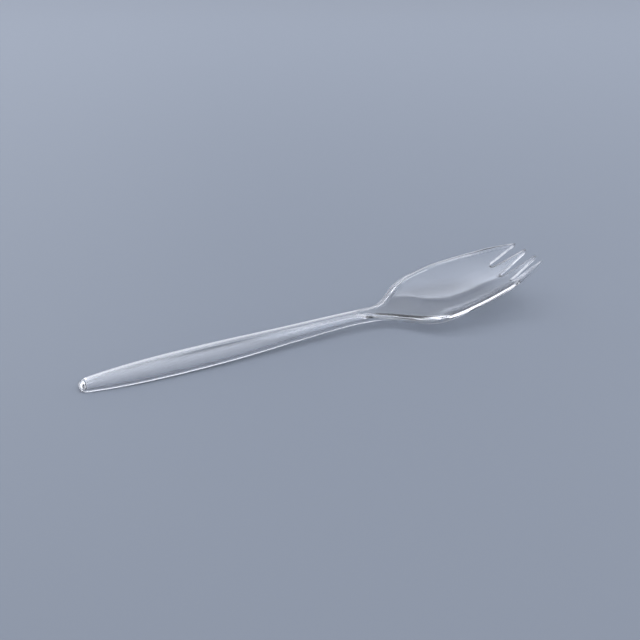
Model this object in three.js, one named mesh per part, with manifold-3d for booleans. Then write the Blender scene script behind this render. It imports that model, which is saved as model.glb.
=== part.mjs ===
import * as THREE from "three";
import { mergeVertices } from "three/addons/utils/BufferGeometryUtils.js";
import Module from "manifold-3d";

const wasm = await Module();
wasm.setup();

// A spork moulded in one piece from clear plastic, lying on a table the way it comes to rest.
// X runs from the end of the handle to the tines, Y across, Z up. Millimetres.

// Lengthwise landmarks.
const LENGTH = 167.0; // handle end to the tips of the middle tines
const HANDLE_WIDEST = 36.0;
const NECK = 92.0; // narrowest place
const BOWL_START = 97.0; // the inside of the bowl begins to fall away
const BELLY = 127.0; // lowest place of the bowl, where it touches the table
const BOWL_WIDEST = 134.0;
const SLOT_ROOT = 155.0;

// Half widths of the outline seen from above.
const END_HALF = 3.0;
const HANDLE_HALF = 5.8;
const NECK_HALF = 3.6;
const BOWL_HALF = 16.5;
const TIP_HALF = 8.4;
const END_ROUND = 2.4; // length over which the handle's end is rounded

// Heights above the table.
const NECK_Z = 2.1; // lower edge of the neck
const TIP_Z = 14.3; // tips of the tines
const FLOOR_Z = 1.05; // lowest place inside the bowl

// Sections.
const ARCH = 3.1; // height of the handle's arch, edge to crown
const NECK_HEIGHT = 2.7;
const SHOULDER_HEIGHT = 2.1; // height of the border round the shoulders
const RIM_HEIGHT = 1.6; // height of the rim's edge round the bowl
const TIP_HEIGHT = 1.3;
const WALL = 1.1; // wall of the handle and of the bowl's floor
const TINE_WALL = 1.5;
const BORDER = 2.3; // width of the sloping border round the shoulders
const BORDER_FALL = 0.42; // how far it slopes outward, as a share of its height
const RIM_ROUND = 0.6; // rounding of the rim round the front of the bowl
const EDGE_LIFT = 0.3; // the foot of the rim rises this much outward

// Slots between the tines.
const SLOT_WIDTH = 1.8; // at the round inner end
const SIDE_SLOT = 6.5; // middle of each side slot at its inner end
const SIDE_SLOT_TIP = 5.75;
const MIDDLE_MOUTH = 4.7; // widths at the tips
const SIDE_MOUTH = 4.0;
const TIP_BOW = 1.7; // the outer tines stop this far short of the middle ones

const BORDER_POINTS = 4; // points across the border
const DISH_POINTS = 8; // and from the border to the middle line

const { lerp, clamp } = THREE.MathUtils;

// 0 before a and 1 after b, with no kink at either end.
function ease(a, b, x) {
  const t = clamp((x - a) / (b - a), 0, 1);
  return t * t * (3 - 2 * t);
}

// A smooth curve through a few landmarks, each given as [x, value].
function through(...marks) {
  const slope = marks.map((mark, i) => {
    const a = marks[Math.max(i - 1, 0)];
    const b = marks[Math.min(i + 1, marks.length - 1)];
    return (b[1] - a[1]) / (b[0] - a[0]);
  });
  return (x) => {
    let i = 0;
    while (i < marks.length - 2 && x > marks[i + 1][0]) i += 1;
    const [x0, y0] = marks[i];
    const [x1, y1] = marks[i + 1];
    const h = x1 - x0;
    const t = clamp((x - x0) / h, 0, 1);
    const s = t * t * (3 - 2 * t);
    const early = t * (1 - t) * (1 - t) * h * slope[i];
    const late = t * t * (t - 1) * h * slope[i + 1];
    return lerp(y0, y1, s) + early + late;
  };
}

const outline = through(
  [0, END_HALF],
  [10, 4.65],
  [22, 5.6],
  [HANDLE_WIDEST, HANDLE_HALF],
  [50, 5.5],
  [65, 4.6],
  [80, 3.85],
  [NECK, NECK_HALF],
  [99, 3.95],
  [104, 5.3],
  [108, 7.9],
  [112, 11.5],
  [116, 14.4],
  [121, 16.1],
  [BOWL_WIDEST, BOWL_HALF],
  [147, 14.8],
  [152, 13.7],
  [157, 12.6],
  [162, 10.85],
  [165, 9.5],
  [LENGTH, TIP_HALF],
);

function halfWidth(x) {
  const t = clamp(x / END_ROUND, 0, 1);
  return outline(x) * lerp(0.5, 1, Math.sqrt(t * (2 - t)));
}

const lowerEdge = through(
  [0, 0],
  [16, 0.25],
  [40, 0.62],
  [60, 1.1],
  [80, 1.8],
  [NECK, NECK_Z],
  [100, 1.9],
  [108, 1.8],
  [114, 2.35],
  [122, 3.6],
  [132, 6.3],
  [140, 7.85],
  [155, 10.7],
  [LENGTH, TIP_Z - TIP_HEIGHT + 0.4],
);

const edgeHeight = through(
  [0, 1.7],
  [4, 2.4],
  [30, ARCH],
  [60, ARCH],
  [NECK, NECK_HEIGHT],
  [104, SHOULDER_HEIGHT - 0.3],
  [110, SHOULDER_HEIGHT],
  [119, SHOULDER_HEIGHT + 0.2],
  [130, RIM_HEIGHT],
  [152, RIM_HEIGHT],
  [LENGTH, TIP_HEIGHT],
);

// Height of the inside of the bowl along the middle line.
const floor = through(
  [BOWL_START, 4.5],
  [103, 3.4],
  [112, 2.2],
  [119, 1.35],
  [BELLY, FLOOR_Z],
  [134, 1.9],
  [144, 4.2],
  [SLOT_ROOT, 7.4],
  [LENGTH, 14.0],
);

function sectionAt(x) {
  const edge = lowerEdge(x);
  const height = edgeHeight(x);
  const half = halfWidth(x);
  const bowl = ease(BOWL_START - 3, BOWL_START + 5, x);
  const front = ease(115, 125, x);
  const border = lerp(Math.min(BORDER, 0.55 * half), RIM_ROUND, front);
  return {
    half,
    edge,
    height,
    bowl,
    border,
    rounding: lerp(half, border, ease(90, 103, x)),
    squareness: lerp(2.3, lerp(14, 2.4, front), ease(94, 103, x)),
    fall: BORDER_FALL * ease(94, 104, x) * (1 - front),
    lift: EDGE_LIFT * ease(96, 104, x),
    depth: bowl * (edge + height - floor(x)),
    round: lerp(7, 2.4, ease(113, 126, x)),
    shift: 0.1 * WALL * ease(98, 106, x) * (1 - front),
    wall: lerp(WALL, TINE_WALL, ease(138, 158, x)) * lerp(1, 0.85, ease(158, LENGTH, x)),
    hollow: ease(1.0, 2.4, x),
  };
}

// The closed outline of one cross-section: over the top from one edge to the other, then back underneath.
function ring(x) {
  const s = sectionAt(x);
  const bow = (y) => x - TIP_BOW * Math.pow(y / TIP_HALF, 2) * ease(148, LENGTH, x);
  const dishHalf = s.half - s.border;
  // The underside is the same curve, lower by the wall, and wider where the wall is steep.
  const surface = (y, shift) => {
    const v = clamp((Math.abs(y) - s.half + s.rounding) / s.rounding, 0, 1);
    const arch = Math.sqrt(1 - Math.pow(v, s.squareness)) * (1 - s.fall * Math.pow(v, 1.3));
    const u = Math.min(Math.abs(y) / (dishHalf + shift), 1);
    return s.edge + lerp(s.lift, s.height, arch) - s.depth * (1 - Math.pow(u, s.round));
  };
  const inner = s.half - WALL;
  const bottom = (y) => Math.max(lerp(s.edge, surface(y, s.shift) - s.wall, s.hollow), 0);
  const across = [];
  for (let i = 0; i < BORDER_POINTS; i += 1) {
    across.push(dishHalf + s.border * Math.cos((Math.PI / 2) * (i / BORDER_POINTS)));
  }
  for (let i = 0; i < DISH_POINTS; i += 1) {
    across.push(dishHalf * Math.cos((Math.PI / 2) * (i / DISH_POINTS)));
  }
  const over = [...across, 0, ...across.map((y) => -y).reverse()];
  const points = over.map((y) => new THREE.Vector3(bow(y), y, surface(y, 0)));
  const under = [-s.half + 0.2, -inner - 0.15];
  for (let i = 0; i <= over.length - 5; i += 1) {
    under.push(-inner * Math.cos(Math.PI * (i / (over.length - 5))));
  }
  under.push(inner + 0.15, s.half - 0.2);
  under.forEach((y) => {
    const foot = (Math.abs(y) - inner) / WALL;
    const z = foot > 0.01 ? s.edge + s.lift * foot : bottom(y);
    points.push(new THREE.Vector3(bow(y), y, z));
  });
  return points;
}

function loft(rings) {
  const size = rings[0].length;
  const position = rings.flat().flatMap((p) => [p.x, p.y, p.z]);
  const index = [];
  for (let i = 0; i < rings.length - 1; i += 1) {
    for (let j = 0; j < size; j += 1) {
      const a = i * size + j;
      const b = i * size + ((j + 1) % size);
      index.push(a, b, a + size, b, b + size, a + size);
    }
  }
  // Each end is closed by a strip between its upper and its lower half.
  const close = (first, near, far) => {
    for (let j = 0; j < size / 2 - 1; j += 1) {
      const [a, b] = [first + j, first + j + 1];
      const [c, d] = [first + size - 1 - j, first + size - 2 - j];
      const strip = near ? [a, c, b, b, c, d] : [a, b, c, b, d, c];
      index.push(...strip);
    }
  };
  close(0, true);
  close((rings.length - 1) * size, false);
  const geometry = new THREE.BufferGeometry();
  geometry.setAttribute("position", new THREE.Float32BufferAttribute(position, 3));
  geometry.setIndex(index);
  return geometry;
}

function solidOf(geometry) {
  const bare = geometry.clone();
  bare.deleteAttribute("normal");
  bare.deleteAttribute("uv");
  const merged = mergeVertices(bare, 1e-4);
  return new wasm.Manifold(
    new wasm.Mesh({
      numProp: 3,
      vertProperties: merged.attributes.position.array,
      triVerts: new Uint32Array(merged.index.array),
    }),
  );
}

function geometryOf(solid) {
  const mesh = solid.getMesh();
  const position = new Float32Array(mesh.numVert * 3);
  for (let i = 0; i < mesh.numVert; i += 1) {
    const start = i * mesh.numProp;
    position.set(mesh.vertProperties.subarray(start, start + 3), i * 3);
  }
  const geometry = new THREE.BufferGeometry();
  geometry.setAttribute("position", new THREE.BufferAttribute(position, 3));
  geometry.setIndex(new THREE.BufferAttribute(mesh.triVerts, 1));
  geometry.computeVertexNormals();
  return geometry;
}

// Stations stand close together where the shape turns quickly.
function spread(from, to, count) {
  return Array.from({ length: count }, (_, i) => lerp(from, to, i / count));
}
const stations = [
  ...spread(0, 1, 6).map((t) => 1 - Math.cos((Math.PI / 2) * t)),
  ...spread(1, 4, 6),
  ...spread(4, 88, 20),
  ...spread(88, LENGTH, 62),
  LENGTH,
];
const body = solidOf(loft(stations.map(ring)));

// A slot is a tapered prism with a round inner end, standing upright. Its mouth flares, which rounds the tips.
function slot(rootY, tipY, mouth, flare) {
  const r = SLOT_WIDTH / 2;
  const tip = LENGTH - flare;
  const beyond = LENGTH + 2;
  const shape = new THREE.Shape();
  shape.moveTo(SLOT_ROOT, rootY - r);
  shape.lineTo(tip, tipY - mouth / 2 + 0.1);
  shape.quadraticCurveTo(LENGTH - 0.2, tipY - mouth / 2 - 0.1, LENGTH, tipY - mouth / 2 - 0.7);
  shape.lineTo(beyond, tipY - mouth / 2 - 0.7);
  shape.lineTo(beyond, tipY + mouth / 2 + 0.7);
  shape.lineTo(LENGTH, tipY + mouth / 2 + 0.7);
  shape.quadraticCurveTo(LENGTH - 0.2, tipY + mouth / 2 + 0.1, tip, tipY + mouth / 2 - 0.1);
  shape.lineTo(SLOT_ROOT, rootY + r);
  shape.absarc(SLOT_ROOT, rootY, r, Math.PI / 2, Math.PI * 1.5, false);
  const upright = { depth: 40, bevelEnabled: false, curveSegments: 10 };
  return solidOf(new THREE.ExtrudeGeometry(shape, upright));
}

const spork = body
  .subtract(slot(0, 0, MIDDLE_MOUTH, 1.2))
  .subtract(slot(SIDE_SLOT, SIDE_SLOT_TIP, SIDE_MOUTH, 2.8))
  .subtract(slot(-SIDE_SLOT, -SIDE_SLOT_TIP, SIDE_MOUTH, 2.8));

const clear = new THREE.MeshStandardMaterial({
  color: 0xe4e9f2,
  roughness: 0.06,
  metalness: 0,
  transparent: true,
  opacity: 0.35,
});
const mesh = new THREE.Mesh(geometryOf(spork), clear);
mesh.name = "spork";
// The frame's origin is under the middle of the whole length, on the table.
mesh.geometry.computeBoundingBox();
mesh.position.x = -(mesh.geometry.boundingBox.min.x + mesh.geometry.boundingBox.max.x) / 2;
const part = new THREE.Group();
part.add(mesh);
export default part;
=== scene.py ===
# %% [markdown]
# # A clear plastic spork on a pale table
#
# The object is one injection moulding: a bowl with four tines and an arched, hollow-backed handle.
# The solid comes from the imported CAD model. This lesson gives it smooth surfaces, a clear plastic
# and a studio whose soft lamps can be seen in it, because a clear thing shows little but its
# surroundings.

import math

import bmesh
import bpy
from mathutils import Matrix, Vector


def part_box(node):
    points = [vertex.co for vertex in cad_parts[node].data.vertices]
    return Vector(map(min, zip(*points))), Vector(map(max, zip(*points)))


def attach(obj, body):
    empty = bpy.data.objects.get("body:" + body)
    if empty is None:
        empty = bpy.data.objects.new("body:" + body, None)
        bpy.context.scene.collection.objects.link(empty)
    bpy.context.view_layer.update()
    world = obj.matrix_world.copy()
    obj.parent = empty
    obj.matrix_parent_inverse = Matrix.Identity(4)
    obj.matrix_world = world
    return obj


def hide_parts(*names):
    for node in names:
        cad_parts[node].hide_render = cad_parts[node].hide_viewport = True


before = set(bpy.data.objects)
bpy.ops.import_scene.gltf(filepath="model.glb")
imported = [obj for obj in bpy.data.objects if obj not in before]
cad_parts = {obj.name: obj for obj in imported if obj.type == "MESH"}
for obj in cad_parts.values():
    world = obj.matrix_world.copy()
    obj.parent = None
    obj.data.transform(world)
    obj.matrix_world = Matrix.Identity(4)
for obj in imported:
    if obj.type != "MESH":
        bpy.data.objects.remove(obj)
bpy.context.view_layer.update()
low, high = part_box("spork")
print("spork, mm:", [round(1000 * (b - a), 2) for a, b in zip(low, high)])

# %% [markdown]
# ## Camera
#
# The camera stands in front of the handle and looks down across the table, 32 degrees below the
# horizontal, with a lens as long as its sensor is wide. Its place was found by fitting the outline of
# the handle, the rim and the tips of the tines. A camera could also be aimed with a Track To
# constraint, but two plain angles are easier to read and to change.

# %% Camera
CAMERA_PLACE = (-0.07554, -0.17119, 0.12208)
CAMERA_DOWN = math.radians(32.23)
CAMERA_TURN = math.radians(22.84)
SENSOR_WIDTH = 36
NEAREST_SEEN = 0.01

camera = bpy.data.objects.new("camera", bpy.data.cameras.new("camera"))
camera.data.sensor_width = SENSOR_WIDTH
camera.data.lens = SENSOR_WIDTH
camera.data.clip_start = NEAREST_SEEN
camera.location = CAMERA_PLACE
camera.rotation_euler = (math.pi / 2 - CAMERA_DOWN, 0, -CAMERA_TURN)
bpy.context.scene.collection.objects.link(camera)
bpy.context.scene.camera = camera
print("camera, mm from the origin:", round(1000 * Vector(CAMERA_PLACE).length))

# %% [markdown]
# ## Shader maths
#
# Node trees are hard to read as links. A small class wraps a socket, so that an expression such as
# `0.1 + 0.05 * rub` adds its own Math nodes, and `Shader.node` makes any other node from its type, its
# settings and its inputs.

# %% A socket that takes part in arithmetic


class Value:
    """An output socket that takes part in ordinary arithmetic."""

    def __init__(self, shader, socket):
        self.shader = shader
        self.socket = socket

    def _math(self, operation, first, second):
        return self.shader.node("ShaderNodeMath", {"operation": operation}, {0: first, 1: second})

    def __add__(self, other):
        return self._math("ADD", self, other)

    def __radd__(self, other):
        return self._math("ADD", other, self)

    def __mul__(self, other):
        return self._math("MULTIPLY", self, other)

    def __rmul__(self, other):
        return self._math("MULTIPLY", other, self)


# %% A tree that is written as expressions


class Shader:
    """A material or world tree that is written as expressions."""

    def __init__(self, owner):
        owner.use_nodes = True
        self.tree = owner.node_tree

    def node(self, kind, settings=None, inputs=None, output=0):
        made = self.tree.nodes.new(kind)
        for name, value in (settings or {}).items():
            setattr(made, name, value)
        for name, value in (inputs or {}).items():
            self.set(made.inputs[name], value)
        return Value(self, made.outputs[output])

    def set(self, socket, value):
        if isinstance(value, Value):
            self.tree.links.new(value.socket, socket)
        else:
            socket.default_value = value


# %% [markdown]
# ## Clear plastic
#
# The real thing is crystal polystyrene: nearly colourless, with a refractive index of 1.59, so it
# glitters more than glass. Its colour, index and clearness are the same all over, so they are set
# straight on the shader.

# %% Clear plastic
NEARLY_COLOURLESS = (0.965, 0.97, 0.985, 1)
REFRACTIVE_INDEX = 1.59

plastic = bpy.data.materials.new("clear_plastic")
shader = Shader(plastic)
surface = plastic.node_tree.nodes["Principled BSDF"]
surface.inputs["Base Color"].default_value = NEARLY_COLOURLESS
surface.inputs["IOR"].default_value = REFRACTIVE_INDEX
surface.inputs["Transmission Weight"].default_value = 1.0
print("clear_plastic: refractive index", REFRACTIVE_INDEX)

# %% [markdown]
# ## Marks of the mould and of use
#
# A mould leaves the plastic smooth but not perfect. There are faint flow waves, as the melt froze
# while it ran from the neck to the tines, fine rubbing marks from the pack, and slightly matt edges
# where the halves of the mould met. All are too shallow to model, so a bump stands for the waves and
# a change of roughness for the others. The matt edges are read from an attribute of the mesh, because
# they follow its edges and no pattern in space does.

# %% Marks of the mould and of use
WAVES_PER_METRE = 220.0
WAVE_STRETCH = (0.45, 1.0, 1.0)
WAVE_STRENGTH = 0.025
WAVE_DEPTH = 0.0006
RUBS_PER_METRE = 2600.0
RUB_STRETCH = (0.12, 1.0, 1.0)
RUB_SLANT = (0, 0, 0.35)
POLISH = 0.07
RUB_DULLING = 0.05
EDGE_DULLING = 0.3

place = shader.node("ShaderNodeTexCoord", output="Object")
flow_place = shader.node("ShaderNodeMapping", inputs={"Vector": place, "Scale": WAVE_STRETCH})
flow = shader.node(
    "ShaderNodeTexNoise",
    inputs={"Vector": flow_place, "Scale": WAVES_PER_METRE, "Detail": 2.0, "Roughness": 0.45},
)
rub_place = shader.node(
    "ShaderNodeMapping", inputs={"Vector": place, "Rotation": RUB_SLANT, "Scale": RUB_STRETCH}
)
rub = shader.node(
    "ShaderNodeTexNoise",
    inputs={"Vector": rub_place, "Scale": RUBS_PER_METRE, "Detail": 3.0, "Roughness": 0.6},
)
satin = shader.node("ShaderNodeAttribute", {"attribute_name": "satin"}, output="Fac")
shader.set(surface.inputs["Roughness"], POLISH + RUB_DULLING * rub + EDGE_DULLING * satin)
bump = shader.node(
    "ShaderNodeBump",
    inputs={"Strength": WAVE_STRENGTH, "Distance": WAVE_DEPTH, "Height": flow},
)
shader.set(surface.inputs["Normal"], bump)
print("clear_plastic:", len(plastic.node_tree.nodes), "nodes")

# %% [markdown]
# ## Smooth moulded surface
#
# The CAD solid is made of flat facets. A clear thing shows every facet twice, on its front and on
# its back, so the visible piece is a copy of the same mesh. Its loose triangles are merged, and pairs
# of them that lie nearly flat are joined into the four-sided faces of the loft, which a Subdivision
# Surface can round evenly. A Smooth by Angle finish would hide the facets too, but not at the outline.

# %% Copy and join
SAME_PLACE = 1e-6
NEARLY_FLAT = math.radians(12)
NEARLY_SQUARE = math.radians(70)

moulding = bmesh.new()
moulding.from_mesh(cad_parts["spork"].data)
bmesh.ops.remove_doubles(moulding, verts=moulding.verts, dist=SAME_PLACE)
triangles = len(moulding.faces)
bmesh.ops.join_triangles(
    moulding,
    faces=moulding.faces,
    angle_face_threshold=NEARLY_FLAT,
    angle_shape_threshold=NEARLY_SQUARE,
)
print("moulding:", triangles, "triangles joined into", len(moulding.faces), "faces")

# %% [markdown]
# ## Edges of the moulding
#
# Edges that are sharp on the moulding, such as those of the rim and the slots, are creased, so they
# keep their place and only lose their bite. The same edges get the attribute that the plastic reads
# for its matt edges. Bevels would do for the shape, but they would need room that a wall of about a
# millimetre doesn't have.

# %% Edges
SHARP = math.radians(32)
CREASE = 0.8

crease = moulding.edges.layers.float.new("crease_edge")
satin_edge = moulding.verts.layers.float.new("satin")
for face in moulding.faces:
    face.smooth = True
creased = 0
for edge in moulding.edges:
    if edge.calc_face_angle(0) > SHARP:
        creased += 1
        edge[crease] = CREASE
        for corner in edge.verts:
            corner[satin_edge] = 1.0
print("moulding:", creased, "of", len(moulding.edges), "edges creased")

# %% [markdown]
# ## The finished piece
#
# The rounded copy rides on the spork's only body and takes the place of the CAD solid, which stays
# for collision. Two levels of rounding hide the facets and stay under 200,000 triangles. The modifier
# is left live, so its level is easy to change.

# %% Smooth piece
ROUNDING_LEVELS = 2

mesh = bpy.data.meshes.new("spork_smooth")
moulding.to_mesh(mesh)
moulding.free()
spork = bpy.data.objects.new("spork_smooth", mesh)
bpy.context.scene.collection.objects.link(spork)
spork.data.materials.append(plastic)
rounding = spork.modifiers.new("rounding", "SUBSURF")
rounding.levels = rounding.render_levels = ROUNDING_LEVELS
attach(spork, "root")
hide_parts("spork")
print("spork_smooth:", len(mesh.vertices), "vertices,", len(mesh.polygons), "faces")

# %% [markdown]
# ## Table
#
# A pale blue-grey table top with a satin finish. It is one plane, wide enough that its far edge stays
# out of the camera's view, and the spork's shadow falls on it. It lies a hair below the moulding,
# because two faces at exactly the same height would show as black specks through the plastic.

# %% Table
HAIR = 0.00003
TABLE_REACH = 3.0
BLUE_GREY = (0.27, 0.3, 0.352, 1)
TABLE_ROUGHNESS = 0.5

table_mesh = bpy.data.meshes.new("table")
table_shape = bmesh.new()
bmesh.ops.create_grid(table_shape, x_segments=2, y_segments=2, size=TABLE_REACH)
bmesh.ops.translate(table_shape, verts=table_shape.verts, vec=(0, 0, -HAIR))
table_shape.to_mesh(table_mesh)
table_shape.free()
table = bpy.data.objects.new("table", table_mesh)
bpy.context.scene.collection.objects.link(table)

table_finish = bpy.data.materials.new("table_finish")
table_shader = Shader(table_finish)
table_surface = table_finish.node_tree.nodes["Principled BSDF"]
table_surface.inputs["Base Color"].default_value = BLUE_GREY
table_surface.inputs["Roughness"].default_value = TABLE_ROUGHNESS
table.data.materials.append(table_finish)
print("table: reaches", TABLE_REACH, "m each way")

# %% [markdown]
# ## A soft panel
#
# Clear plastic is lit by what it mirrors and bends, not by a key light. So every lamp is a broad,
# even panel, and its level is given as how bright it looks, where 1 is white. An area light takes
# watts instead, and the helper works them out from the panel's size.

# %% A soft panel
FORWARD = Vector((math.sin(CAMERA_TURN), math.cos(CAMERA_TURN), 0))
RIGHT = Vector((math.cos(CAMERA_TURN), -math.sin(CAMERA_TURN), 0))
DOWN = Vector((0, 0, -1))
SOFT_WHITE = (0.87, 0.91, 1.0)


def panel(name, ahead, across, height, facing, size, glow):
    """A soft panel, placed by metres ahead of the spork, to its right and above the table."""
    light = bpy.data.lights.new(name, "AREA")
    light.shape = "RECTANGLE"
    light.size, light.size_y = size
    light.energy = glow * math.pi * size[0] * size[1]
    light.color = SOFT_WHITE
    lamp = bpy.data.objects.new(name, light)
    lamp.location = FORWARD * ahead + RIGHT * across - DOWN * height
    if facing == DOWN:
        lamp.rotation_euler = (0, 0, -CAMERA_TURN)
    else:
        lamp.rotation_euler = facing.to_track_quat("-Z", "Y").to_euler()
    bpy.context.scene.collection.objects.link(lamp)
    print(f"{name}: {size[0]:.2f} by {size[1]:.2f} m, glow {glow:.2f}")


# %% [markdown]
# ## Ceiling
#
# A wide soft ceiling hangs over the spork, dim above the camera and brighter further away, and it
# ends at a clean line. Its picture fills the far wall of the bowl and stops where the floor of the
# bowl turns level. One big lamp would be simpler, but it can't grow brighter across its width, so the
# ceiling is made of strips. A corner panel carries it further on the left.

# %% Ceiling
CEILING_HEIGHT = 1.0
CEILING_NEAR, CEILING_FAR, CEILING_WIDTH = -0.6, 1.1, 3.0
CEILING_STRIPS = 6
DIM, BRIGHT = 0.4, 2.3

strip = (CEILING_FAR - CEILING_NEAR) / CEILING_STRIPS
for index in range(CEILING_STRIPS):
    ahead = CEILING_NEAR + strip * (index + 0.5)
    glow = DIM + (BRIGHT - DIM) * index / (CEILING_STRIPS - 1)
    panel(f"ceiling_{index}", ahead, 0, CEILING_HEIGHT, DOWN, (CEILING_WIDTH, strip), glow)
panel("ceiling_corner", 1.3, -1.0, CEILING_HEIGHT, DOWN, size=(1.1, 0.4), glow=1.8)

# %% [markdown]
# ## Walls, window and door
#
# Panels stand round the table like the walls of a room, because the rounded edges of clear plastic
# mirror all of it. The far wall, brighter on its left, lights the far edge of the handle. A window on
# the right, a door on the left and a dim panel behind the camera light the edges that face them, which
# would be dark lines otherwise. A picture of a real room on the world would do this too, but plain
# panels are easier to understand and to change.

# %% Walls, window and door
FAR_WALL = 1.5
SIDE_WALL = 1.5
LOW, MIDDLE, HIGH = 0.25, 0.5, 0.75

panel("wall_low", FAR_WALL, 0, LOW, -FORWARD, size=(4.4, 0.5), glow=0.4)
panel("wall_left", FAR_WALL, -1.3, HIGH, -FORWARD, size=(1.8, 0.5), glow=0.6)
panel("wall_right", FAR_WALL, 0.9, HIGH, -FORWARD, size=(2.6, 0.5), glow=0.2)
panel("window", 0.9, SIDE_WALL, LOW, -RIGHT, size=(1.2, 0.5), glow=3.5)
panel("door", 0.9, -SIDE_WALL, LOW, RIGHT, size=(1.2, 0.5), glow=1.2)
panel("back", -1.2, 0, MIDDLE, FORWARD, size=(3.0, 1.0), glow=0.5)

# %% [markdown]
# ## Surround
#
# The world fills what the panels leave open. It lights the table only faintly, so that the shadow
# stays, but the camera and the plastic see it paler, as they would a plain studio. The Light Path
# node tells these rays apart. A ray that passes through the plastic counts as glossy and as
# transmission, so it meets a surround that is paler still.

# %% Surround
WORLD_LIGHT = 0.22
WORLD_SEEN = 0.37

world = bpy.data.worlds.new("studio")
bpy.context.scene.world = world
sky = Shader(world)
background = world.node_tree.nodes["Background"]
background.inputs["Color"].default_value = (*SOFT_WHITE, 1)
camera_ray = sky.node("ShaderNodeLightPath", output="Is Camera Ray")
glossy_ray = sky.node("ShaderNodeLightPath", output="Is Glossy Ray")
clear_ray = sky.node("ShaderNodeLightPath", output="Is Transmission Ray")
seen = camera_ray + glossy_ray + clear_ray
sky.set(background.inputs["Strength"], WORLD_LIGHT + (WORLD_SEEN - WORLD_LIGHT) * seen)
print("surround: lights at", WORLD_LIGHT, "and the camera sees it at", WORLD_SEEN)

# %% [markdown]
# ## Finish
#
# The Standard view shows each colour as it is written.

# %% Finish
bpy.context.scene.view_settings.view_transform = "Standard"
